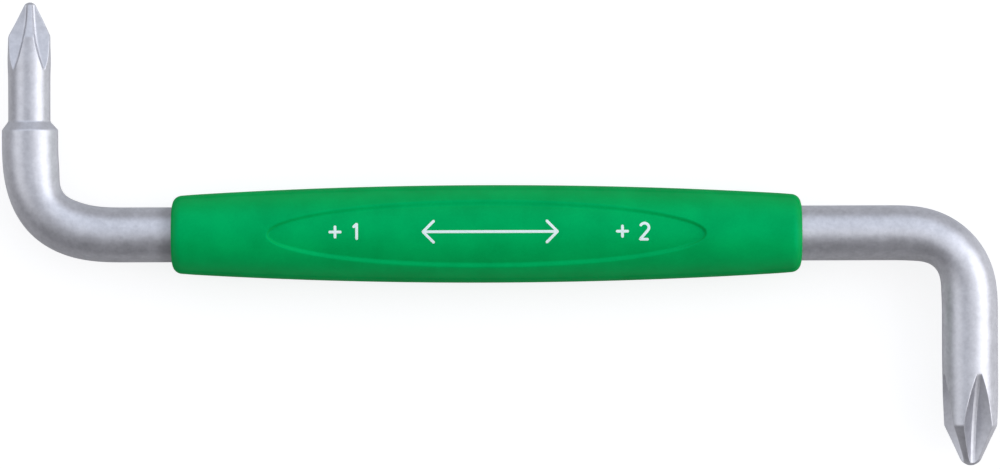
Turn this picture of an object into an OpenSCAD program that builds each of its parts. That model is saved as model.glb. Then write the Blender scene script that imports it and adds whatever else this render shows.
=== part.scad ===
// Offset screwdriver: a round steel bar bent into a Z, with a small cross tip on one arm,
// a large cross tip on the other, and a barrel-shaped plastic grip moulded over the middle.
// The tool lies flat: X runs along the bar, Y along the arms, Z out of the plane of the Z.
// The origin is on the bar's axis, halfway between the two arms.

/* [Bar] */
// Distance between the axes of the two arms
arm_span = 102.6; // [92:0.1:125]
// Diameter of the round bar
bar_d = 6; // [5:0.1:7]
// Distance from the bar's axis to the end of the small tip
small_reach = 25.4; // [23:0.1:32]
// Distance from the bar's axis to the end of the large tip
large_reach = 25.4; // [23:0.1:32]
// Radius of the bar's centreline in the bend to the small tip
small_bend_r = 7.9; // [5:0.1:9]
// Radius of the bar's centreline in the bend to the large tip
large_bend_r = 7.1; // [5:0.1:9]

/* [Small tip] */
// Diameter of the turned-down shank behind the small tip
small_shank_d = 4.6; // [4:0.1:4.8]
// Length of the turned-down shank, from its shoulder to the end of the tip
small_shank_l = 12.9; // [10:0.1:14]
// Length of the conical shoulder between the shank and the full bar
shoulder_l = 0.95; // [0.5:0.05:1.5]
// Radius of the shoulder's rounded edge, and of the fillet at its foot
shoulder_edge_r = 0.4; // [0.1:0.05:0.6]
// Diameter where the blunt point of the small tip meets its wings
small_point_d = 1.1; // [1:0.05:1.4]
// Thickness of each wing of the small tip
small_wing_t = 0.55; // [0.4:0.01:0.6]
// Width of the narrow root of each flute of the small tip
small_root_w = 0.3; // [0.2:0.01:0.5]
// Radius of the disc cutter that leaves the flutes of the small tip
small_cutter_r = 16; // [12:0.5:20]
// Turn of the small tip about its arm, from a flute that faces +Z
small_turn = 46.7; // [0:0.1:89]

/* [Large tip] */
// Diameter where the blunt point of the large tip meets its wings
large_point_d = 2.1; // [1.8:0.05:2.4]
// Thickness of each wing of the large tip
large_wing_t = 0.7; // [0.5:0.01:0.9]
// Width of the narrow root of each flute of the large tip
large_root_w = 0.8; // [0.6:0.01:1]
// Radius of the disc cutter that leaves the flutes of the large tip
large_cutter_r = 23.5; // [18:0.5:25]
// Turn of the large tip about its arm, from a flute that faces +Z
large_turn = 15.4; // [0:0.1:89]

/* [Cross tips] */
// Angle between the axis and the outer edges of the wings
wing_angle = 26.5; // [20:0.5:30]
// Angle between the end plane and the blunt point
point_angle = 28; // [20:1:35]
// Angle between the two walls of a flute
flute_angle = 92; // [91:0.5:100]
// Angle between the two shallow faces of a flute's root
root_angle = 140; // [130:1:160]
// Radius of the rounded crest where the wings' outer edges meet the shank
crest_r = 2; // [0.5:0.1:3]
// Radius of the rounded edge between the blunt point and the wings' outer edges
point_edge_r = 0.3; // [0.1:0.05:0.4]

/* [Grip] */
// Length of the grip, between the rims of its bore
grip_l = 68.7; // [56:0.1:76]
// Distance from the small arm's axis to the near end of the grip
grip_start = 15.5; // [12:0.1:18]
// Diameter of the grip at its middle
grip_mid_d = 10.6; // [9.5:0.1:14]
// Diameter of the grip at its ends, before the corners are rounded
grip_end_d = 8.4; // [8:0.1:9.4]
// Length of the plain cylinder across the middle of the barrel, on which the tool rolls and lies
middle_l = 12; // [6:0.5:16]
// Radius of the rounded corner at each end of the grip
grip_corner_r = 1.1; // [0.5:0.05:1.2]
// Fall of each domed end face of the grip, from the bore's rim to the side
grip_dome_h = 0.3; // [0.1:0.05:0.5]
// Gap between the moulded grip and the bar inside it
grip_fit = 0.02; // [0.01:0.01:0.05]

/* [Panel] */
// Length of the oval panel sunk into the front and the back of the grip
panel_l = 47.6; // [30:0.1:50]
// Width of the oval panel
panel_w = 7; // [5:0.1:7.5]
// Depth of the oval panel below the barrel
panel_depth = 0.32; // [0.1:0.02:0.5]

/* [Anchor flats] */
// Length of each flat pressed into the bar, inside the grip
flat_l = 8; // [5:0.5:12]
// Depth of each flat below the round of the bar
flat_depth = 0.45; // [0.3:0.05:0.6]
// Distance between the middles of the two pairs of flats
flat_pitch = 36; // [24:1:44]

/* [Hidden] */
$fn = 96;
// How far a cut runs past the face that it opens
overrun = 1;
// Steps along the grip's side, along each rounded corner and along each domed end
side_steps = 11;
corner_steps = 5;
dome_steps = 3;
// Flutes on a cross tip
flute_count = 4;
steel_colour = "#b9bac6";
grip_colour = "#009650";

bar_r = bar_d / 2;
small_x = -arm_span / 2;
large_x = arm_span / 2;
grip_x = small_x + grip_start + grip_l / 2;

// Both points where a circle of radius ra about a meets one of radius rb about b: side is 1 or -1
function circles_meet(a, ra, b, rb, side) =
    let (
        gap = norm(b - a),
        along = (gap * gap + ra * ra - rb * rb) / (2 * gap),
        across = sqrt(ra * ra - along * along),
        way = (b - a) / gap
    )
    a + way * along + side * across * [-way.y, way.x];

// Points of an arc about centre, from one angle to another
function arc(centre, r, from, to, steps) =
    [for (i = [0 : steps]) let (a = from + (to - from) * i / steps) centre + r * [cos(a), sin(a)]];

// The angle from the X direction to the line from a to b
function direction(a, b) = atan2(b.y - a.y, b.x - a.x);

// The corner at b, between a and c, rounded to radius r
function rounded(a, b, c, r) =
    let (
        u = (a - b) / norm(a - b),
        v = (c - b) / norm(c - b),
        half = acos(u * v) / 2,
        centre = b + (u + v) / norm(u + v) * r / sin(half),
        from = direction(centre, b + u * r / tan(half)),
        to = direction(centre, b + v * r / tan(half)),
        sweep = (to - from + 540) % 360 - 180
    )
    arc(centre, r, from, from + sweep, corner_steps);

// Half of the outline of one straight arm, from the end of its tip at y = 0 up to y = length
module arm_outline(point_r, shank_r, shank_l, length) {
    point_l = point_r * tan(point_angle);
    wing_l = (shank_r - point_r) / tan(wing_angle);
    shouldered = shank_r < bar_r;
    corners = concat(
        [[0, 0], [point_r, point_l], [shank_r, point_l + wing_l]],
        shouldered ? [[shank_r, shank_l], [bar_r, shank_l + shoulder_l]] : [],
        [[bar_r, length], [0, length]]
    );
    radii = concat(
        [0, point_edge_r, crest_r],
        shouldered ? [shoulder_edge_r, shoulder_edge_r] : [],
        [0, 0]
    );
    polygon([
        for (i = [0 : len(corners) - 1])
            each radii[i] == 0
                ? [corners[i]]
                : rounded(corners[i - 1], corners[i], corners[i + 1], radii[i])
    ]);
}

// Half section of a disc cutter whose V edge would be sharp at radius cutter_r,
// but for the two shallow faces that leave a root of width root_w
module cutter_section(cutter_r, root_w, depth) {
    wall_in = root_w / 2 / tan(flute_angle / 2);
    root_in = wall_in - root_w / 2 / tan(root_angle / 2);
    mouth = depth * tan(flute_angle / 2);
    polygon([
        [cutter_r - root_in, 0],
        [cutter_r - wall_in, root_w / 2],
        [cutter_r - depth, mouth],
        [cutter_r - depth, -mouth],
        [cutter_r - wall_in, -root_w / 2]
    ]);
}

// One straight arm with its cross tip: the end of the tip is at the origin, the arm runs up Z,
// and the first flute faces X before the turn
module cross_arm(point_d, shank_d, shank_l, length, wing_t, root_w, cutter_r, turn) {
    // Where the sharp edge of the V would be, so that two flutes leave a wing of wing_t
    edge_x = wing_t / 2 / sin(180 / flute_count);
    difference() {
        rotate_extrude()
            arm_outline(point_d / 2, shank_d / 2, shank_l, length);
        for (i = [0 : flute_count - 1])
            rotate(turn + i * 360 / flute_count)
                translate([edge_x + cutter_r, 0, 0])
                    rotate([90, 0, 0])
                        rotate_extrude()
                            cutter_section(cutter_r, root_w, shank_d / 2 + overrun);
    }
}

// A quarter turn of the bar about the origin, from X to Y
module bend(bend_r) {
    rotate_extrude(angle = 90)
        translate([bend_r, 0])
            circle(bar_r);
}

// The stretch of round bar from x = from to x = to, larger all round by gap
module round_bar(from, to, gap = 0) {
    translate([from, 0, 0])
        rotate([0, 90, 0])
            cylinder(r = bar_r + gap, h = to - from);
}

// The slots that make the anchor flats, in front of and behind the bar, and shrunk by gap
module anchor_slots(gap = 0) {
    for (place = [-1, 1], face = [-1, 1])
        translate([
            grip_x + place * flat_pitch / 2,
            0,
            face * (bar_r - flat_depth + gap + bar_r / 2)
        ])
            cube([flat_l - 2 * gap, 2 * bar_d, bar_r], center = true);
}

// The bent bar with both tips, all one piece of steel
module steel_bar() {
    color(steel_colour) {
        difference() {
            round_bar(small_x + small_bend_r, large_x - large_bend_r);
            anchor_slots();
        }
        translate([small_x + small_bend_r, small_bend_r, 0])
            rotate(180)
                bend(small_bend_r);
        translate([large_x - large_bend_r, -large_bend_r, 0])
            bend(large_bend_r);
        translate([small_x, small_reach, 0])
            rotate([90, 0, 0])
                cross_arm(small_point_d, small_shank_d, small_shank_l,
                    small_reach - small_bend_r, small_wing_t, small_root_w,
                    small_cutter_r, 90 - small_turn);
        translate([large_x, -large_reach, 0])
            rotate([-90, 0, 0])
                cross_arm(large_point_d, bar_d, 0,
                    large_reach - large_bend_r, large_wing_t, large_root_w,
                    large_cutter_r, large_turn - 90);
    }
}

// Half of the barrel's section, with the side along Y and every face set in by inset:
// a dome on each end, a round corner, and a long arc for each side of the plain middle
module barrel_section(inset = 0) {
    half_l = grip_l / 2;
    mid_r = grip_mid_d / 2;
    end_r = grip_end_d / 2;
    mid_edge = [mid_r, middle_l / 2];
    // Centre of the arc from the edge of the plain middle to the end of the side
    side_x = (mid_edge * mid_edge - end_r * end_r - half_l * half_l) / (2 * (mid_r - end_r));
    side_c = [side_x, 0];
    side_r = norm(mid_edge - side_c);
    // Height of the bore's rim above the centre of the dome, whose edge lies grip_dome_h lower
    rim_h = (end_r * end_r - bar_r * bar_r + grip_dome_h * grip_dome_h) / (2 * grip_dome_h);
    dome_r = norm([bar_r, rim_h]);
    dome_c = [0, half_l - rim_h];
    corner_c = circles_meet(dome_c, dome_r - grip_corner_r, side_c, side_r - grip_corner_r, -1);
    side_a = direction(side_c, corner_c);
    dome_a = direction(dome_c, corner_c);
    upper = concat(
        arc(side_c, side_r - inset, direction(side_c, mid_edge), side_a, side_steps),
        arc(corner_c, grip_corner_r - inset, side_a, dome_a, corner_steps),
        arc(dome_c, dome_r - inset, dome_a, 90, dome_steps)
    );
    polygon(concat(
        [for (i = [len(upper) - 1 : -1 : 0]) [upper[i].x, -upper[i].y]],
        upper
    ));
}

module barrel(inset = 0) {
    translate([grip_x, 0, 0])
        rotate([0, 90, 0])
            rotate_extrude()
                barrel_section(inset);
}

// The oval column that outlines the panel, from the middle of the grip out through one face
module panel_column() {
    translate([grip_x, 0, 0])
        scale([panel_l / 2, panel_w / 2, grip_mid_d / 2 + overrun])
            cylinder(r = 1, h = 1);
}

// The moulded grip, with its bore filled by the bar and its flats
module grip() {
    grip_from = grip_x - grip_l / 2;
    grip_to = grip_x + grip_l / 2;
    color(grip_colour)
        difference() {
            barrel();
            difference() {
                union() {
                    panel_column();
                    mirror([0, 0, 1])
                        panel_column();
                }
                barrel(panel_depth);
            }
            difference() {
                round_bar(grip_from - overrun, grip_to + overrun, grip_fit);
                anchor_slots(grip_fit);
            }
        }
}

steel_bar();
grip();
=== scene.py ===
import math

import bmesh
import bpy
import numpy as np
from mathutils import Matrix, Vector


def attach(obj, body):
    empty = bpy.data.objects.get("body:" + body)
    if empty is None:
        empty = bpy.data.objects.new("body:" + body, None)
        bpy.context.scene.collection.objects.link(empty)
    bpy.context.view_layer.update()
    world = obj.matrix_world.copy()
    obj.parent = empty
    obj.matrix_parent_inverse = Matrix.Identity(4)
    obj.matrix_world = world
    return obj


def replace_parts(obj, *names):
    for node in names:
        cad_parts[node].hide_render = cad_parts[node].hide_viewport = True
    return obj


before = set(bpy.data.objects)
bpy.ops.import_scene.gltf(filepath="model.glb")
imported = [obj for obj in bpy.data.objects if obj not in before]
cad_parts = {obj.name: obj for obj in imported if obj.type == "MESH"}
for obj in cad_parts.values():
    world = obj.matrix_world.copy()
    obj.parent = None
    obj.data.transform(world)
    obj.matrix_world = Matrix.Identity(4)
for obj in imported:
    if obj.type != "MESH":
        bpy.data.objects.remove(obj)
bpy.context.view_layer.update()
scene = bpy.context.scene
mm = 0.001
quarter = math.pi / 2
print("frame loaded")


def connect(tree, value, socket):
    if isinstance(value, Field):
        tree.links.new(value.socket, socket)
    elif isinstance(value, bpy.types.NodeSocket):
        tree.links.new(value, socket)
    else:
        socket.default_value = value


def addNode(tree, kind, inputs=None, **settings):
    # settings go on first, because they change which sockets a node has
    node = tree.nodes.new(kind)
    for name, value in settings.items():
        setattr(node, name, value)
    for name, value in (inputs or {}).items():
        connect(tree, value, node.inputs[name])
    return node


class Field:
    # a number inside a node tree, so that a formula reads as it is written
    def __init__(self, tree, socket):
        self.tree, self.socket = tree, socket

    def math(self, operation, *others):
        node = addNode(self.tree, "ShaderNodeMath", operation=operation)
        for socket, value in zip(node.inputs, (self, *others)):
            connect(self.tree, value, socket)
        return Field(self.tree, node.outputs[0])

    def __add__(self, other):
        return self.math("ADD", other)

    def __sub__(self, other):
        return self.math("SUBTRACT", other)

    def __mul__(self, other):
        return self.math("MULTIPLY", other)

    def __truediv__(self, other):
        return self.math("DIVIDE", other)

    __radd__, __rmul__ = __add__, __mul__

    def __rsub__(self, other):
        return self * -1 + other

    def over(self, other):
        return self.math("GREATER_THAN", other)

    def least(self, other):
        return self.math("MAXIMUM", other)

    def most(self, other):
        return self.math("MINIMUM", other)

    def sqrt(self):
        return self.math("SQRT")

    def sin(self):
        return self.math("SINE")

    def cos(self):
        return self.math("COSINE")

    def size(self):
        return self.math("ABSOLUTE")

    def ramp(self, fromMin, fromMax, toMin, toMax, smooth=False):
        # held at its ends, so that ramps over neighbouring spans can be added up
        node = addNode(self.tree, "ShaderNodeMapRange", clamp=True,
                       interpolation_type="SMOOTHERSTEP" if smooth else "LINEAR")
        for socket, value in zip(node.inputs, (self, fromMin, fromMax, toMin, toMax)):
            connect(self.tree, value, socket)
        return Field(self.tree, node.outputs[0])

    def mix(self, low, high):
        return low + (high - low) * self


def axes(tree, vector):
    # the X, Y and Z of a vector
    node = addNode(tree, "ShaderNodeSeparateXYZ", {"Vector": vector})
    return [Field(tree, socket) for socket in node.outputs]


def newTree(name, values):
    # a geometry tree with one named input for each value, and the way to read them
    tree = bpy.data.node_groups.new(name, "GeometryNodeTree")
    tree.interface.new_socket("Geometry", in_out="INPUT", socket_type="NodeSocketGeometry")
    tree.interface.new_socket("Geometry", in_out="OUTPUT", socket_type="NodeSocketGeometry")
    kinds = {int: "NodeSocketInt", bpy.types.Material: "NodeSocketMaterial"}
    for label, value in values.items():
        kind = kinds.get(type(value), "NodeSocketFloat")
        tree.interface.new_socket(label, in_out="INPUT", socket_type=kind)
    given = tree.nodes.new("NodeGroupInput")

    def read(label):
        # numbers as fields, the geometry and the material as they are
        socket = given.outputs[label]
        return Field(tree, socket) if isinstance(values.get(label), (int, float)) else socket

    return tree, read


def moveTo(tree, geometry, x, y, z):
    place = addNode(tree, "ShaderNodeCombineXYZ", {"X": x, "Y": y, "Z": z}).outputs[0]
    node = addNode(tree, "GeometryNodeSetPosition", {"Geometry": geometry, "Position": place})
    return node.outputs[0]


def endTree(tree, geometry, material):
    smooth = addNode(tree, "GeometryNodeSetShadeSmooth", {"Geometry": geometry})
    real = addNode(tree, "GeometryNodeRealizeInstances", {"Geometry": smooth.outputs[0]})
    dressed = addNode(tree, "GeometryNodeSetMaterial", {
        "Geometry": real.outputs[0], "Material": material})
    connect(tree, dressed.outputs[0], addNode(tree, "NodeGroupOutput").inputs[0])


def growMesh(name, tree, values, points=(), edges=(), numbers=None, ways=None):
    # runs a tree on the given points and keeps what it makes as a plain mesh
    seed = bpy.data.meshes.new(name + "Seed")
    seed.from_pydata([Vector(p) for p in points], edges, [])
    for label, rows in (numbers or {}).items():
        seed.attributes.new(label, "FLOAT", "POINT").data.foreach_set("value", rows)
    for label, rows in (ways or {}).items():
        data = seed.attributes.new(label, "FLOAT_VECTOR", "POINT").data
        data.foreach_set("vector", np.ravel(rows))
    source = bpy.data.objects.new(name + "Seed", seed)
    scene.collection.objects.link(source)
    modifier = source.modifiers.new(name, "NODES")
    modifier.node_group = tree
    for item in tree.interface.items_tree:
        if item.in_out == "INPUT" and item.name in values:
            modifier[item.identifier] = values[item.name]
    depsgraph = bpy.context.evaluated_depsgraph_get()
    mesh = bpy.data.meshes.new_from_object(source.evaluated_get(depsgraph), depsgraph=depsgraph)
    source.modifiers.clear()
    bpy.data.objects.remove(source)
    mesh.name = name
    return mesh


seams = dict(
    weld=0.0004,                    # mm, the gap that is closed
    shortest=0.0001,                # mm, the edge that is kept
)


def finishPiece(name, bm, material, creaseAngle):
    # merges the seams, turns every face outwards and marks the true edges sharp
    bmesh.ops.remove_doubles(bm, verts=bm.verts, dist=seams["weld"] * mm)
    bmesh.ops.dissolve_degenerate(bm, edges=bm.edges, dist=seams["shortest"] * mm)
    bmesh.ops.recalc_face_normals(bm, faces=bm.faces)
    for edge in bm.edges:
        if not edge.is_manifold:
            print("open edge on", name, edge.verts[0].co)
            break
    for face in bm.faces:
        face.smooth = True
    mesh = bpy.data.meshes.new(name)
    bm.to_mesh(mesh)
    bm.free()
    mesh.set_sharp_from_angle(angle=math.radians(creaseAngle))
    mesh.materials.clear()
    mesh.materials.append(material)
    piece = bpy.data.objects.new(name, mesh)
    scene.collection.objects.link(piece)
    triangles = sum(len(p.vertices) - 2 for p in mesh.polygons)
    print(name, len(mesh.vertices), "points", triangles, "triangles")
    return piece


def newMaterial(name):
    material = bpy.data.materials.new(name)
    material.use_nodes = True
    tree = material.node_tree
    shader = next(n for n in tree.nodes if n.type == "BSDF_PRINCIPLED")
    place = addNode(tree, "ShaderNodeTexCoord").outputs["Object"]
    return material, tree, shader, place


def noise(tree, place, size, detail, roughness):
    node = addNode(tree, "ShaderNodeTexNoise", {
        "Vector": place, "Scale": 1 / (size * mm), "Detail": detail, "Roughness": roughness})
    return Field(tree, node.outputs[0])


def mixColour(tree, amount, low, high):
    node = addNode(tree, "ShaderNodeMix", data_type="RGBA")
    sockets = [s for s in node.inputs if s.enabled]
    for socket, value in zip(sockets, (amount, (*low, 1), (*high, 1))):
        connect(tree, value, socket)
    return [s for s in node.outputs if s.enabled][0]


def addBump(tree, shader, height, strength, depth):
    bump = addNode(tree, "ShaderNodeBump", {
        "Height": height, "Strength": strength, "Distance": depth * mm})
    connect(tree, bump.outputs[0], shader.inputs["Normal"])


# in each look, a pattern is its size in mm, its detail and its roughness,
# and a bump is its strength and its depth in mm
steelLook = dict(
    colour=((0.590, 0.590, 0.622), (0.715, 0.715, 0.750)),
    colourRange=(0.38, 0.62),       # of the mottling, from the dark colour to the pale one
    colourShares=(0.35, 0.35, 0.3),     # of grain, dimples and clouds in the mottling
    roughness=(0.35, 0.45),
    roughRange=(0.3, 0.7),
    grain=(0.40, 2.0, 0.55),        # the pits that blasting leaves
    dimples=(1.0, 2.0, 0.6),        # the soft dents between them
    clouds=(2.5, 4.0, 0.6),         # slow changes of the plating
    bump=(0.5, 0.034),
    bumpShares=(0.7, 0.3),          # of dimples and grain in the bump
    paintedShadow=0.34,                      # painted shadow: how much darker the bar is painted where it enters the grip's left end, where the grip shades it
    paintedShadowAt=-35.78, paintedShadowReach=2.3,   # mm, where that is along the bar, and how far it fades out
)


def satinSteel(look):
    material, tree, shader, place = newMaterial("satinSteel")
    grain = noise(tree, place, *look["grain"])
    dimples = noise(tree, place, *look["dimples"])
    clouds = noise(tree, place, *look["clouds"])
    fine, soft, slow = look["colourShares"]
    tone = (grain * fine + dimples * soft + clouds * slow).ramp(*look["colourRange"], 0.0, 1.0)
    # a painted shadow: the base colour darkens towards the grip's left end, standing in for the grip's
    # shadow on the bar
    x = axes(tree, place)[0]
    end, reach = look["paintedShadowAt"] * mm, look["paintedShadowReach"] * mm
    paintedShadow = (x.ramp(end - reach, end, 0.0, look["paintedShadow"], smooth=True)
            * x.ramp(end, end + reach, 1.0, 0.0))
    colour = addNode(tree, "ShaderNodeVectorMath", {
        0: mixColour(tree, tone, *look["colour"]), "Scale": 1.0 - paintedShadow}, operation="SCALE")
    connect(tree, colour.outputs[0], shader.inputs["Base Color"])
    rough = (grain * 0.5 + clouds * 0.5).ramp(*look["roughRange"], *look["roughness"])
    connect(tree, rough, shader.inputs["Roughness"])
    shader.inputs["Metallic"].default_value = 1.0
    soft, fine = look["bumpShares"]
    addBump(tree, shader, dimples * soft + grain * fine, *look["bump"])
    return material


plasticLook = dict(
    colour=((0.000, 0.375, 0.074), (0.000, 0.450, 0.094)),
    colourRange=(0.35, 0.65),
    colourShares=(0.3, 0.7),        # of skin and clouds in the colour
    roughness=(0.40, 0.50),
    roughRange=(0.3, 0.7),
    skin=(0.22, 3.0, 0.6),          # the fine texture of the mould
    clouds=(4.0, 3.0, 0.55),        # slow changes of the pigment
    bump=(0.3, 0.006),
    gloss=(0.50, 0.015),            # seen square, and at its rims
    glossRange=(0.15, 0.6),
    sheenTint=(0.0, 0.8, 1.0),
    refraction=1.42,
)


def greenPlastic(look):
    material, tree, shader, place = newMaterial("greenPlastic")
    skin = noise(tree, place, *look["skin"])
    clouds = noise(tree, place, *look["clouds"])
    fine, slow = look["colourShares"]
    tone = (skin * fine + clouds * slow).ramp(*look["colourRange"], 0.0, 1.0)
    connect(tree, mixColour(tree, tone, *look["colour"]), shader.inputs["Base Color"])
    rough = skin.ramp(*look["roughRange"], *look["roughness"])
    connect(tree, rough, shader.inputs["Roughness"])
    shader.inputs["Specular Tint"].default_value = (*look["sheenTint"], 1)
    shader.inputs["IOR"].default_value = look["refraction"]
    rim = Field(tree, addNode(tree, "ShaderNodeLayerWeight", {"Blend": 0.5}).outputs["Facing"])
    gloss = rim.ramp(*look["glossRange"], *look["gloss"])
    connect(tree, gloss, shader.inputs["Specular IOR Level"])
    addBump(tree, shader, skin, *look["bump"])
    return material


inkLook = dict(
    colour=((0.72, 0.95, 0.90), (0.92, 1.00, 0.98)),
    colourRange=(0.35, 0.6),
    roughness=0.5,
    speckle=(0.12, 3.0, 0.6),
    bump=(0.2, 0.003),
)


def paleInk(look):
    material, tree, shader, place = newMaterial("paleInk")
    speckle = noise(tree, place, *look["speckle"])
    tone = speckle.ramp(*look["colourRange"], 0.0, 1.0)
    connect(tree, mixColour(tree, tone, *look["colour"]), shader.inputs["Base Color"])
    shader.inputs["Roughness"].default_value = look["roughness"]
    addBump(tree, shader, speckle, *look["bump"])
    return material


steel = satinSteel(steelLook)
plastic = greenPlastic(plasticLook)
ink = paleInk(inkLook)
print("finishes made")


# sizes are in mm and angles in degrees, here and in every piece below
bar = dict(
    radius=3.0,
    armSpan=102.6,
    reach=25.4,                     # from the bar's axis to the end of each tip
    sides=64,
    bendSteps=56, armSteps=6, middleSteps=8,
    swellFade=(18, 42),             # how far round the bend the swelling fades out
    pressFade=1.5,                  # how fast a press or swelling fades round the bar
)
smallTip = dict(
    side=-1, joinAt=14.4,
    bendLength=17.9,                # of the centre line
    bendEase=0.5,                   # the share over which the bend tightens, and eases again
    pinch=0.35, pinchAt=40, pinchSpread=9.5,
    swell=0.14, swellRise=(13.0, 13.9),
    pointRadius=0.55, pointAngle=28, wingAngle=26.5, shankRadius=2.3,
    shoulderAt=13.0, shoulderLength=0.95, shoulderRounding=0.42,
    wing=0.60, rootWidth=0.3, rootAngle=75, wallAngle=50, cutterRadius=16.0, turn=46.7,
    nose=0.22, pointRounding=0.5, crestRounding=1.0,
    lean=0.1, wear=0.06, wearAt=6.3, wearSpread=1.3,
)
largeTip = dict(
    side=1, joinAt=12.5,
    bendLength=14.7, bendEase=0.29,
    pinch=0.47, pinchAt=46, pinchSpread=14.5,
    swell=0.11, swellRise=(5.0, 12.5),
    pointRadius=1.02, pointAngle=28, wingAngle=26.5, shankRadius=3.0,
    wing=0.7, rootWidth=0.52, rootAngle=85, wallAngle=46, cutterRadius=23.5, turn=15.4,
    nose=0.34, pointRounding=1.2, crestRounding=0.8,
)
flutes = dict(
    count=4,
    edgeRounding=0.10,
    roundFrom=0.5,                  # nearer the axis than this, the edges are rounded less
    noseAt=0.03,                    # how far the nearly flat end rises to its edge
    leanFade=(1.5, 4.8),            # the stretch over which the lean fades out
    widest=44.9,                    # just short of the diagonal between two flutes
    cornerPoints=13,                # in each rounded corner of the outline
    landSteps=16, wallSteps=8, rootSteps=3,
    wallEase=1.6,                   # how much a wall's points crowd towards its crest
    landCrowding=(0.2, 0.12, 5),    # least radius, most share of the land, and angle of full crowding
    rowStep=0.11, closeStep=0.05, plainStep=0.4, leastStep=0.012,
    closeAbovePoint=0.8,            # how far up from the point the rows are close
    closeRoundEnds=(0.5, 0.3),      # and how far below and above the flutes' upper ends
    searchFrom=0.02, searchStep=0.004,
)


def smoothStep(value, start, end):
    share = np.clip((np.asarray(value, dtype=float) - start) / (end - start), 0, 1)
    return share * share * (3 - 2 * share)


def bendLine(tip):
    # a quarter turn that tightens from straight and eases again:
    # its points (towards the bar, along it) and its headings
    steps = bar["bendSteps"]
    share = (np.arange(steps) + 0.5) / steps
    curl = np.minimum(1, np.minimum(share, 1 - share) / tip["bendEase"])
    heading = np.concatenate([[0], np.cumsum(curl / curl.sum() * quarter)])
    middle = (heading[1:] + heading[:-1]) / 2
    moves = np.stack([np.cos(middle), np.sin(middle)], axis=1) * tip["bendLength"] / steps
    line = np.concatenate([[[0, 0]], np.cumsum(moves, axis=0)])
    return line - (line[-1, 0], 0), heading


def armPath(tip):
    # the centre line from the top of an arm to the middle of the bar, the way to its inner side,
    # and how far that side stands out, or is pressed in where the bar was folded over its former
    line, heading = bendLine(tip)
    tangent = line[-1, 1]
    above = np.linspace(tip["joinAt"] - bar["reach"], line[0, 0], bar["armSteps"])[:-1]
    beyond = np.linspace(tangent, bar["armSpan"] / 2, bar["middleSteps"])[1:]
    line = np.concatenate([[(u, 0) for u in above], line, [(0, v) for v in beyond]])
    heading = np.concatenate([above * 0, heading, beyond * 0 + quarter])
    inner = np.stack([-np.sin(heading), np.cos(heading)], axis=1)
    face = line + inner * bar["radius"]
    turn = np.degrees(np.arctan2(face[:, 0] + tangent, tangent - face[:, 1]))
    press = tip["swell"] * (1 - smoothStep(turn, *bar["swellFade"]))
    press = press - tip["pinch"] * np.exp(-((turn - tip["pinchAt"]) / tip["pinchSpread"]) ** 2)
    side, half = tip["side"], bar["armSpan"] / 2
    flat = line[:, 0] * 0
    points = np.stack([side * (half - line[:, 1]), side * line[:, 0], flat], axis=1) * mm
    ways = np.stack([-side * inner[:, 1], side * inner[:, 0], flat], axis=1)
    return points, ways, press * mm


def barSweep(values):
    tree, read = newTree("barSweep", values)
    path = addNode(tree, "GeometryNodeMeshToCurve", {"Mesh": read("Geometry")})
    upright = addNode(tree, "GeometryNodeSetCurveNormal", {"Curve": path.outputs[0]}, mode="Z_UP")
    ring = addNode(tree, "GeometryNodeCurvePrimitiveCircle", {
        "Resolution": read("Sides"), "Radius": read("Radius")})
    tube = addNode(tree, "GeometryNodeCurveToMesh", {
        "Curve": upright.outputs[0], "Profile Curve": ring.outputs[0]}).outputs[0]
    press, inner = (
        addNode(tree, "GeometryNodeInputNamedAttribute", {"Name": name}, data_type=kind).outputs[0]
        for name, kind in (("press", "FLOAT"), ("inner", "FLOAT_VECTOR")))
    normal = addNode(tree, "GeometryNodeInputNormal").outputs[0]
    facing = addNode(tree, "ShaderNodeVectorMath", {0: normal, 1: inner}, operation="DOT_PRODUCT")
    share = Field(tree, facing.outputs["Value"]).least(0.0).math("POWER", read("Press fade"))
    push = addNode(tree, "ShaderNodeVectorMath", {
        0: inner, "Scale": Field(tree, press) * share}, operation="SCALE")
    pressed = addNode(tree, "GeometryNodeSetPosition", {"Geometry": tube, "Offset": push.outputs[0]})
    endTree(tree, pressed.outputs[0], read("Material"))
    return tree


def roundedLine(corners):
    # (along, out, rounding) corners to a dense line, with each corner an arc of its rounding
    line = []
    for i, (along, out, rounding) in enumerate(corners):
        here = np.array((along, out))
        if not rounding or i in (0, len(corners) - 1):
            line.append(here)
            continue
        before, after = (np.array(corners[i + k][:2]) - here for k in (-1, 1))
        before, after = before / np.linalg.norm(before), after / np.linalg.norm(after)
        half = math.acos(np.clip(before @ after, -1, 1)) / 2
        middle = (before + after) / np.linalg.norm(before + after)
        centre = here + middle * rounding / math.sin(half)
        start = here + before * rounding / math.tan(half) - centre
        end = here + after * rounding / math.tan(half) - centre
        sweep = math.pi - 2 * half
        for t in np.linspace(0, 1, flutes["cornerPoints"]):
            spoke = start * math.sin((1 - t) * sweep) + end * math.sin(t * sweep)
            line.append(centre + spoke / math.sin(sweep))
    return np.array(line)


def armOutline(tip):
    end, nose = flutes["noseAt"], tip["nose"]       # a nearly flat end, worn round
    point = end + (tip["pointRadius"] - nose) * math.tan(math.radians(tip["pointAngle"]))
    wings = (tip["shankRadius"] - tip["pointRadius"]) / math.tan(math.radians(tip["wingAngle"]))
    corners = [(0, 0, 0), (end, nose, nose), (point, tip["pointRadius"], tip["pointRounding"]),
               (point + wings, tip["shankRadius"], tip["crestRounding"])]
    if "shoulderAt" in tip:
        foot, rounding = tip["shoulderAt"], tip["shoulderRounding"]
        corners += [(foot, tip["shankRadius"], rounding),
                    (foot + tip["shoulderLength"], bar["radius"], rounding)]
    return roundedLine(corners + [(tip["joinAt"], bar["radius"], 0)])


def armRadius(tip, line, along):
    # of the arm's outline, with the swelling that wear leaves on the crests
    place = (along - tip.get("wearAt", 0)) / tip.get("wearSpread", 1)
    return float(np.interp(along, line[:, 0], line[:, 1])) + tip.get("wear", 0) * math.exp(-place ** 2)


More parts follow.
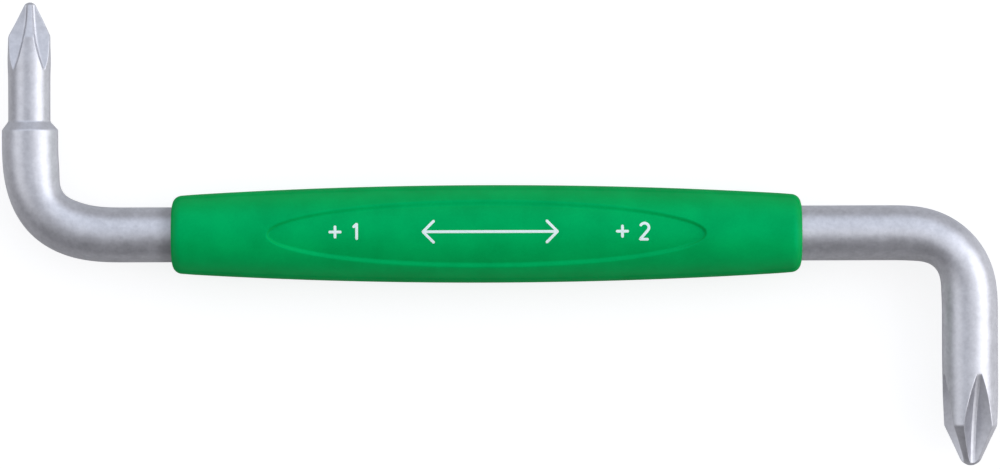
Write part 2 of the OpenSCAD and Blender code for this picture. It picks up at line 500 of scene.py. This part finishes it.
def cutterPlace(tip):
    # how far out a flute's cutter has its axis, and how far the root's edge is inside its rim
    reach = tip["wing"] / 2 / math.sin(math.pi / flutes["count"]) + tip["cutterRadius"]
    return reach, tip["rootWidth"] / 2 / math.tan(math.radians(tip["wallAngle"]))


def fluteDepth(tip, angle, along):
    # how far out the flute's surface is, at an angle from the flute's middle
    reach, wallIn = cutterPlace(tip)
    rootIn = wallIn - tip["rootWidth"] / 2 / math.tan(math.radians(tip["rootAngle"]))
    outside = 1e3       # where the cutter doesn't reach
    nearest = 0.0
    for slope, inset in ((tip["rootAngle"], rootIn), (tip["wallAngle"], 0.0)):
        edge = tip["cutterRadius"] - inset
        lean = np.tan(angle) / math.tan(math.radians(slope))
        b = reach - edge * lean
        c = reach ** 2 + along ** 2 - edge ** 2
        rest = b * b - (1 - lean * lean) * c
        met = (rest >= 0) & (b > 0) & (lean < 1)
        out = np.where(met, c / (b + np.sqrt(np.maximum(rest, 0))), outside)
        nearest = np.maximum(nearest, out)
    return nearest / np.cos(angle)


def rootEdge(tip, along):
    # angle of the line where a flute's wall meets its root
    reach, wallIn = cutterPlace(tip)
    out = reach - math.sqrt(max((tip["cutterRadius"] - wallIn) ** 2 - along ** 2, 0))
    return math.atan(tip["rootWidth"] / 2 / out)


def crestEdge(tip, along, radius):
    # angle of the line where a flute meets the outside, 0 where there is no flute
    low, high = 0.0, math.radians(flutes["widest"])
    if fluteDepth(tip, low, along) >= radius:
        return 0.0
    for _ in range(40):
        middle = (low + high) / 2
        if fluteDepth(tip, middle, along) < radius:
            low = middle
        else:
            high = middle
    return low


def armRows(tip, line):
    # places along the arm for its rings of points, and where the flutes end
    fine = np.arange(flutes["searchFrom"], tip["joinAt"], flutes["searchStep"])
    crests = np.array([crestEdge(tip, s, armRadius(tip, line, s)) for s in fine])
    roots = np.array([rootEdge(tip, s) for s in fine])
    marks = [fine[i] for i in range(1, len(fine))
             if (crests[i] > 0) != (crests[i - 1] > 0)
             or (crests[i] > 0 and (crests[i] > roots[i]) != (crests[i - 1] > roots[i - 1]))]
    runOut = max(marks)
    below, above = flutes["closeRoundEnds"]
    rows = set(np.round(line[:, 0], 5)) | set(marks)
    for start, stop, step in (
            (0, marks[0] + flutes["closeAbovePoint"], flutes["closeStep"]),
            (0, runOut + below, flutes["rowStep"]),
            (runOut - below, runOut + above, flutes["closeStep"]),
            (runOut, tip["joinAt"], flutes["plainStep"])):
        rows |= set(np.arange(start, stop, step))
    rows = sorted(r for r in rows if r <= tip["joinAt"])
    rows = [r for i, r in enumerate(rows)
            if r in marks or i == 0 or r - rows[i - 1] > flutes["leastStep"]]
    return rows + [tip["joinAt"]], runOut


def ringSweep(tip, along, radius):
    # the angles of a ring's points over one flute and the land after it
    steps, walls, root = flutes["landSteps"], flutes["wallSteps"], flutes["rootSteps"]
    ease = 1 - (1 - np.arange(walls + 1) / walls) ** flutes["wallEase"]
    crest = crestEdge(tip, along, radius) if along > 0 else 0.0
    edge = min(rootEdge(tip, along), crest)
    half = np.concatenate([np.linspace(0, edge, root + 1), edge + (crest - edge) * ease[1:]])
    # the land's points crowd towards its two edges where there are flutes, and are even above them
    leastRadius, mostShare, fullAngle = flutes["landCrowding"]
    land = quarter - 2 * crest
    near = min(flutes["edgeRounding"] / max(radius, leastRadius), mostShare * land)
    even = np.linspace(0, land, steps + 1)
    crowded = np.concatenate([
        [0, near * 0.5], np.linspace(near, land - near, steps - 3), [land - near * 0.5, land]])
    share = min(crest / math.radians(fullAngle), 1)
    land = crest + even * (1 - share) + crowded * share
    return np.concatenate([-half[:0:-1], half, land[1:-1]])


def crossArm(tip):
    # rings of points from the end of the tip up to the one where the swept bar begins
    line = armOutline(tip)
    rows, runOut = armRows(tip, line)
    side, rounding, count = tip["side"], flutes["edgeRounding"], flutes["count"]
    sector = 2 * math.pi / bar["sides"]
    turn = math.radians(tip["turn"])
    straighten = round(turn / sector) * sector - turn      # to the places of the swept bar's sides
    rings = []
    for s in rows:
        radius = armRadius(tip, line, s)
        sweep = ringSweep(tip, s, radius)
        away = np.abs(np.where(sweep > quarter / 2, quarter - sweep, sweep))
        depth = fluteDepth(tip, np.minimum(away, math.radians(flutes["widest"])), s)
        worn = np.maximum(rounding - np.abs(radius - depth), 0) / rounding
        less = min(1, radius / flutes["roundFrom"])
        out = np.minimum(radius, depth) - worn * worn * rounding / 4 * less
        if s == 0:
            out = out * 0
        twist = turn + straighten * smoothStep(s, runOut, tip["joinAt"] - flutes["plainStep"])
        angles = np.concatenate([sweep + twist + q * quarter for q in range(count)])
        out = np.tile(out, count)
        inner = np.maximum(-side * np.sin(angles), 0) ** bar["pressFade"]
        swell = tip["swell"] * smoothStep(s, *tip["swellRise"]) * inner
        lean = tip.get("lean", 0) * (1 - smoothStep(s, *flutes["leanFade"]))
        x = side * (bar["armSpan"] / 2 - swell - lean) + out * np.sin(angles)
        y = side * (s - bar["reach"]) + out * 0
        rings.append(np.stack([x, y, out * np.cos(angles)], axis=1))
    return np.array(rings)


def addRows(bm, rings):
    verts = [[bm.verts.new(p * mm) for p in ring] for ring in rings]
    for low, high in zip(verts, verts[1:]):
        for i in range(len(low)):
            k = (i + 1) % len(low)
            bm.faces.new((low[i], low[k], high[k], high[i]))


def makeBar():
    values = {"Radius": bar["radius"] * mm, "Sides": bar["sides"],
              "Press fade": bar["pressFade"], "Material": steel}
    small, large = armPath(smallTip), armPath(largeTip)
    points, ways, press = (np.concatenate([a[:-1], b[:-1][::-1]]) for a, b in zip(small, large))
    edges = [(i, i + 1) for i in range(len(points) - 1)]
    middle = growMesh("barMiddle", barSweep(values), values, points, edges,
                      {"press": press}, {"inner": ways})
    bm = bmesh.new()
    bm.from_mesh(middle)
    for tip in (smallTip, largeTip):
        addRows(bm, crossArm(tip))
    return finishPiece("bentBar", bm, steel, 38)


bentBar = makeBar()
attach(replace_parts(bentBar, "steel_bar"), "root")
print("bar made")


grip = dict(
    middle=-1.45, length=68.7, middleRadius=5.3, endRadius=4.2,
    cornerRadius=1.1, domeFall=0.3, boreRadius=3.02,
    panelLength=47.6, panelWidth=7.0, panelDepth=0.34, stepWidth=0.42,
    partingHeight=0.025, partingWidth=0.14,
    partingEnd=(0.93, 0.97),        # shares of the half length between which the ridge runs out
    sideRows=(42, 44, 18),          # in the middle, close ones round the panel's end, and beyond
    closeRows=(2.9, 0.7),           # how far the close rows go inside and past the panel's end
    endRows=(10, 5, 9),             # round the corner, over the dome and through the bore
    columns=(10, 10, 20),           # over a quarter's panel floor, its step and the flank
    closeColumns=0.42,              # how far the step's columns go to both sides of the oval
    weld=0.0006,
)


def gripCircles():
    # the circles of the grip's section: its long side, its rounded corners and its domed ends
    half, middle, end = grip["length"] / 2, grip["middleRadius"], grip["endRadius"]
    sag, fall, corner, bore = middle - end, grip["domeFall"], grip["cornerRadius"], grip["boreRadius"]
    side = (half ** 2 + sag ** 2) / (2 * sag)
    rim = (end ** 2 - bore ** 2 + fall ** 2) / (2 * fall)
    dome = math.hypot(bore, rim)
    sideC, domeC = np.array((middle - side, 0.0)), np.array((0.0, half - rim))
    gap = np.linalg.norm(sideC - domeC)
    ra, rb = dome - corner, side - corner
    along = (gap ** 2 + ra ** 2 - rb ** 2) / (2 * gap)
    across = math.sqrt(ra ** 2 - along ** 2)
    way = (sideC - domeC) / gap
    cornerC = domeC + way * along - across * np.array((-way[1], way[0]))
    sideEnd, domeStart = (math.atan2(*(cornerC - c)[::-1]) for c in (sideC, domeC))
    return {
        "Side radius": side, "Side end angle": sideEnd, "Side end": side * math.sin(sideEnd),
        "Corner radius": corner, "Dome radius": dome, "Dome start angle": domeStart,
        "Dome end angle": math.acos(bore / dome),
    }


def gripShape(values):
    tree, read = newTree("gripShape", values)
    # rows go from one end's bore rim over the outside to the other, and back through the bore
    plain, close, coarse = grip["sideRows"]
    corner, dome, bore = grip["endRows"]
    sideRows = plain + close + coarse
    outerRows = sideRows + corner + dome
    floorSteps, stepSteps, flankSteps = grip["columns"]
    columns = floorSteps + stepSteps + flankSteps
    rowCount, columnCount = 2 * outerRows + 1 + bore, 4 * columns + 1
    grid = addNode(tree, "GeometryNodeMeshGrid", {
        "Vertices X": rowCount, "Vertices Y": columnCount}).outputs[0]
    index = Field(tree, addNode(tree, "GeometryNodeInputIndex").outputs[0])
    row = ((index + 0.5) / float(columnCount)).math("FLOOR")
    column = index - row * float(columnCount)
    signed = row - float(outerRows)
    inBore = signed.over(outerRows + 0.5)
    way = signed.over(0.0) * 2.0 - 1.0
    step = signed.size().most(float(outerRows))

    # the section: ramps that follow one another along the side, the corner and the dome
    panelEnd = read("Panel length") / 2.0
    inside, past = grip["closeRows"]
    closeFrom, closeTo = panelEnd - inside, panelEnd + past
    side = (step.ramp(0.0, float(plain), 0.0, closeFrom)
            + step.ramp(float(plain), float(plain + close), 0.0, closeTo - closeFrom)
            + step.ramp(float(plain + close), float(sideRows), 0.0, read("Side end") - closeTo))
    sideEnd, domeStart = read("Side end angle"), read("Dome start angle")
    bent = step.ramp(float(sideRows), float(sideRows + corner), sideEnd, domeStart)
    domed = step.ramp(float(sideRows + corner), float(outerRows), domeStart, read("Dome end angle"))
    sideRadius, cornerRadius, domeRadius = (read(k + " radius") for k in ("Side", "Corner", "Dome"))
    out = ((sideRadius * sideRadius - side * side).sqrt() - sideRadius + read("Middle radius")
           + cornerRadius * (bent.cos() - sideEnd.cos()) + domeRadius * (domed.cos() - domeStart.cos()))
    along = (side + cornerRadius * (bent.sin() - sideEnd.sin())
             + domeRadius * (domed.sin() - domeStart.sin())) * way
    half = read("Length") / 2.0
    through = signed.ramp(float(outerRows), float(outerRows + bore), half, half * -1.0)
    along = inBore.mix(along, through)
    out = inBore.mix(out, read("Bore radius"))

    # the columns: nested ovals over the panel's floor and its step, then even ones down the flank
    spot = column.math("PINGPONG", float(columns))
    panelY, band = read("Panel width") / 2.0, grip["closeColumns"]
    offset = (spot.ramp(0.0, float(floorSteps), panelY * -1.0, -band)
              + spot.ramp(float(floorSteps), float(floorSteps + stepSteps), 0.0, 2 * band))
    lengthwise = inBore.mix(along, 99.0)        # the bore's rows are put beyond any panel
    share = lengthwise / (panelEnd + offset)
    oval = (panelY + offset) * (1.0 - share * share).least(0.0).sqrt()
    turn = (oval / out).most(1.0).math("ARCSINE")
    down = (spot.ramp(float(floorSteps + stepSteps), float(columns), 0.0, quarter)).sin()
    turn = turn + (quarter - turn) * down

    # the panel's step, measured square to the oval, and the parting ridge along both sides
    level = out * turn.sin()
    inX, inY = lengthwise / (panelEnd * panelEnd), level / (panelY * panelY)
    over = inX * lengthwise + inY * level - 1.0
    steepness = (inX * inX + inY * inY).sqrt().least(1e-4) * 2.0
    reach = read("Step width") / 2.0
    sunk = (over / steepness).ramp(reach * -1.0, reach, read("Panel depth"), 0.0, smooth=True)
    ridge = (out * turn.cos()).ramp(
        0.0, read("Parting width"), read("Parting height"), 0.0, smooth=True)
    outer = 1.0 - inBore
    fadeFrom, fadeTo = (half * share for share in grip["partingEnd"])
    radius = out - sunk * outer + ridge * outer * lengthwise.size().ramp(fadeFrom, fadeTo, 1.0, 0.0)

    backward = column.over(2.0 * columns + 0.5) * -2.0 + 1.0
    upward = (column - 2.0 * columns).size().over(columns - 0.5) * 2.0 - 1.0
    shaped = moveTo(tree, grid, (along + read("Middle")) * mm,
                    radius * turn.sin() * backward * mm, radius * turn.cos() * upward * mm)
    welded = addNode(tree, "GeometryNodeMergeByDistance", {
        "Geometry": shaped, "Distance": grip["weld"] * mm})
    endTree(tree, welded.outputs[0], read("Material"))
    return tree


def makeGrip():
    values = {
        "Middle": grip["middle"], "Length": grip["length"], "Middle radius": grip["middleRadius"],
        "Bore radius": grip["boreRadius"], "Panel length": grip["panelLength"],
        "Panel width": grip["panelWidth"], "Panel depth": grip["panelDepth"],
        "Step width": grip["stepWidth"], "Parting height": grip["partingHeight"],
        "Parting width": grip["partingWidth"], "Material": plastic, **gripCircles(),
    }
    bm = bmesh.new()
    bm.from_mesh(growMesh("gripMesh", gripShape(values), values))
    return finishPiece("gripMoulding", bm, plastic, 50)


gripMoulding = makeGrip()
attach(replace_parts(gripMoulding, "grip"), "root")
print("grip made")


marks = dict(
    stroke=0.30, thickness=0.012, pointSpacing=0.05, sides=12,
    height=1.75, crossSize=0.72,
    flagOut=0.42, flagUp=0.26,      # of the one: how far out it goes, and its share of the height
    bowRadius=0.27,                 # of the two, a share of the height
    levelAt=0.25,
    smallCrossAt=-17.9, oneAt=-15.55,
    largeCrossAt=13.3, twoAt=15.7,
    arrowAt=-1.05, arrowLength=14.6, arrowHead=1.25,
)


def crossMark(x, y, size):
    return [[(x - size, y), (x + size, y)], [(x, y - size), (x, y + size)]]


def oneMark(x, y, height):
    flag = (x - marks["flagOut"], y + height * marks["flagUp"])
    return [[flag, (x, y + height / 2), (x, y - height / 2)]]


def twoMark(x, y, height):
    r = height * marks["bowRadius"]
    centre = y + height / 2 - r
    bow = [(x + r * math.cos(a), centre + r * math.sin(a)) for a in np.radians(range(165, -46, -15))]
    return [bow + [(x - r, y - height / 2), (x + r, y - height / 2)]]


def arrowMark(x, y, length, head):
    half = length / 2
    lines = [[(x - half, y), (x + half, y)]]
    for way in (-1, 1):
        tip = x + way * half
        lines.append([(tip - way * head, y + head), (tip, y), (tip - way * head, y - head)])
    return lines


def inkLines(values):
    tree, read = newTree("inkLines", values)
    lines = addNode(tree, "GeometryNodeMeshToCurve", {"Mesh": read("Geometry")})
    even = addNode(tree, "GeometryNodeResampleCurve", {
        "Curve": lines.outputs[0], "Length": read("Point spacing")}, mode="LENGTH")
    spot = addNode(tree, "GeometryNodeSplineParameter")
    whole = Field(tree, addNode(tree, "GeometryNodeSplineLength").outputs["Length"])
    done = Field(tree, spot.outputs["Length"])
    half = read("Stroke") / 2.0
    short = 1.0 - (done.most(whole - done) / half).most(1.0)
    width = (1.0 - short * short).least(0.0004).sqrt() * half       # round ends, never a bare point
    flat = addNode(tree, "GeometryNodeSetCurveNormal", {"Curve": even.outputs[0]}, mode="Z_UP")
    ring = addNode(tree, "GeometryNodeCurvePrimitiveCircle", {
        "Resolution": read("Sides"), "Radius": 1.0})
    beads = addNode(tree, "GeometryNodeCurveToMesh", {
        "Curve": flat.outputs[0], "Profile Curve": ring.outputs[0],
        "Scale": width, "Fill Caps": True})
    # pressed flat and laid on the panel's floor, which follows the barrel
    x, y, z = axes(tree, addNode(tree, "GeometryNodeInputPosition").outputs[0])
    along, side = x - read("Grip middle"), read("Side radius")
    barrel = (side * side - along * along).sqrt() - side + read("Floor radius")
    floor = (barrel * barrel - y * y).sqrt()
    laid = moveTo(tree, beads.outputs[0], x * mm, y * mm,
                  (floor + z / half * read("Thickness")) * mm)
    endTree(tree, laid, read("Material"))
    return tree


def makeMarks():
    level, height, size = marks["levelAt"], marks["height"], marks["crossSize"]
    lines = crossMark(marks["smallCrossAt"], level, size) + oneMark(marks["oneAt"], level, height)
    lines += crossMark(marks["largeCrossAt"], level, size) + twoMark(marks["twoAt"], level, height)
    lines += arrowMark(marks["arrowAt"], level, marks["arrowLength"], marks["arrowHead"])
    points, edges = [], []
    for line in lines:
        edges += [(len(points) + i, len(points) + i + 1) for i in range(len(line) - 1)]
        points += [(px, py, 0.0) for px, py in line]
    values = {
        "Stroke": marks["stroke"], "Thickness": marks["thickness"],
        "Point spacing": marks["pointSpacing"], "Sides": marks["sides"],
        "Grip middle": grip["middle"], "Side radius": gripCircles()["Side radius"],
        "Floor radius": grip["middleRadius"] - grip["panelDepth"], "Material": ink,
    }
    bm = bmesh.new()
    bm.from_mesh(growMesh("inkMesh", inkLines(values), values, points, edges))
    return finishPiece("panelMarks", bm, ink, 60)


panelMarks = makeMarks()
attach(panelMarks, "root")
print("marks made")


studio = dict(
    floorAt=-4.962,                 # mm, just under the lowest face of the grip
    floorSize=8.0,                  # m
    floorColour=0.35,
    floorGlow=0.78,                 # share of the white that the camera sees whatever the shade
    floorGlossGlow=0.19,            # and that shows in the object's gloss
    floorGlossColour=(1.04, 1.0, 0.98),
    floorSheen=0.38,                # how much of a reflected floor is its own reflection of the lights
    floorRoughness=0.25,
    sky=(0.20, 0.90),               # towards -Y, and towards +Y
    skyColours=((1.0, 1.0, 1.06), (0.94, 1.0, 1.12)),       # a camera sees plain white
    skyEdge=(-0.90, 0.80),          # directions along Y between which it brightens
    skyRise=(0.12, 0.5),            # and upwards along Z
    skyLow=0.70,                    # how much of the bright part is lost at the horizon
    skyAside=(0.08, 0.34),          # more towards both sides, and again towards +X
)
softboxes = {
    # name: (degrees from overhead, degrees round from +X, distance m, width m, height m, strength)
    "rightBox": (59.5, 0, 0.55, 0.62, 0.46, 1.04),
    "topBox": (20, 0, 0.30, 0.12, 0.22, 0.36),
    "leftBox": (50, 180, 0.55, 0.31, 0.34, 0.50),
}
view = dict(
    distance=0.9,                   # m, above the bar's axis
    width=0.1091,                   # m, of the picture at that height
    centre=(0.01, -0.07),           # mm
    turn=-0.165,                    # degrees
    sensor=36, clip=(0.05, 20),
)


def lightRays(tree):
    # the kinds of ray, and 1 for those that see the background itself
    rays = addNode(tree, "ShaderNodeLightPath").outputs
    return rays, Field(tree, rays["Is Camera Ray"]).least(rays["Is Transmission Ray"])


def makeFloor():
    size, z, grey = studio["floorSize"] / 2, studio["floorAt"] * mm, studio["floorColour"]
    corners = [(-size, -size, z), (size, -size, z), (size, size, z), (-size, size, z)]
    mesh = bpy.data.meshes.new("studioFloor")
    mesh.from_pydata(corners, [], [(0, 1, 2, 3)])
    material = bpy.data.materials.new("paleFloor")
    material.use_nodes = True
    tree = material.node_tree
    tree.nodes.clear()
    rays, seen = lightRays(tree)
    glossy = Field(tree, rays["Is Glossy Ray"])
    glow = seen * studio["floorGlow"] + glossy * studio["floorGlossGlow"]
    lit = addNode(tree, "ShaderNodeBsdfDiffuse", {"Color": (grey, grey, grey, 1)})
    tint = mixColour(tree, glossy, (1.0, 1.0, 1.0), studio["floorGlossColour"])
    shine = addNode(tree, "ShaderNodeEmission", {"Color": tint, "Strength": glow})
    both = addNode(tree, "ShaderNodeAddShader", {0: lit.outputs[0], 1: shine.outputs[0]})
    satin = addNode(tree, "ShaderNodeBsdfGlossy", {"Roughness": studio["floorRoughness"]})
    whole = addNode(tree, "ShaderNodeMixShader", {
        0: glossy * studio["floorSheen"], 1: both.outputs[0], 2: satin.outputs[0]})
    end = addNode(tree, "ShaderNodeOutputMaterial")
    connect(tree, whole.outputs[0], end.inputs["Surface"])
    mesh.materials.append(material)
    floor = bpy.data.objects.new("studioFloor", mesh)
    scene.collection.objects.link(floor)


def makeSky():
    world = bpy.data.worlds.new("studioSky")
    world.use_nodes = True
    scene.world = world
    tree = world.node_tree
    x, y, z = axes(tree, addNode(tree, "ShaderNodeTexCoord").outputs["Generated"])
    dark, bright = studio["sky"]
    ahead = (y.ramp(*studio["skyEdge"], 0.0, 1.0, smooth=True)
             * z.ramp(*studio["skyRise"], 1 - studio["skyLow"], 1.0, smooth=True))
    both, right = studio["skyAside"]
    level = ahead.mix(dark, bright) + x.size() * both + x.least(0.0) * right
    seen = lightRays(tree)[1]
    colour = mixColour(tree, (1.0 - seen) * ahead, *studio["skyColours"])
    connect(tree, seen.mix(level, 1.0), tree.nodes["Background"].inputs["Strength"])
    connect(tree, colour, tree.nodes["Background"].inputs["Color"])


def makeSoftboxes():
    for name, (tilt, turn, distance, width, height, strength) in softboxes.items():
        tilt, turn = math.radians(tilt), math.radians(turn)
        flat = math.sin(tilt)
        way = Vector((flat * math.cos(turn), flat * math.sin(turn), math.cos(tilt)))
        data = bpy.data.lights.new(name, "AREA")
        data.shape, data.size, data.size_y = "RECTANGLE", width, height
        data.energy = strength * math.pi * width * height
        lamp = bpy.data.objects.new(name, data)
        lamp.location = way * distance
        lamp.rotation_euler = way.to_track_quat("Z", "Y").to_euler()
        lamp.visible_camera = False
        scene.collection.objects.link(lamp)


def makeCamera():
    data = bpy.data.cameras.new("camera")
    data.sensor_width = view["sensor"]
    data.lens = view["sensor"] * view["distance"] / view["width"]
    data.clip_start, data.clip_end = view["clip"]
    camera = bpy.data.objects.new("camera", data)
    camera.location = (*(c * mm for c in view["centre"]), view["distance"])
    camera.rotation_euler = (0, 0, math.radians(view["turn"]))
    scene.collection.objects.link(camera)
    scene.camera = camera


makeFloor()
makeSky()
makeSoftboxes()
makeCamera()
scene.view_settings.view_transform = "Standard"
print("studio made")
